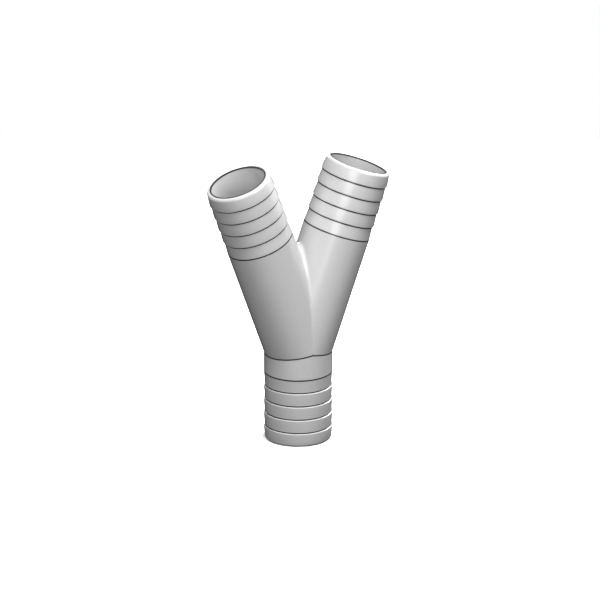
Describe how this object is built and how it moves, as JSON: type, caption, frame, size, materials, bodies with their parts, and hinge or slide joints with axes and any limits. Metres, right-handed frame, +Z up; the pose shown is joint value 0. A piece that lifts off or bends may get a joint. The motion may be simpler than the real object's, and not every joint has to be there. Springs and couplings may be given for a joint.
{
  "type": "tubing y connector",
  "caption": "Moulded plastic Y connector for flexible tubing: a straight stem that splits into slanted arms, with a barbed hose end and a plain through bore on every limb.",
  "frame": {"origin": "centre of the stem's end face, on which the part stands", "axes": "+Z up the stem's axis towards the arms; the arms lean 20 degrees from it towards +X and -X; the part is symmetric about the XZ and YZ planes"},
  "size_m": [0.0742, 0.0262, 0.1108],
  "materials": {
    "body": "plain light grey moulded plastic, smooth with a soft satin sheen and sharp mould edges"
  },
  "bodies": {
    "root": {"y_connector": "body"}
  },
  "joints": []
}
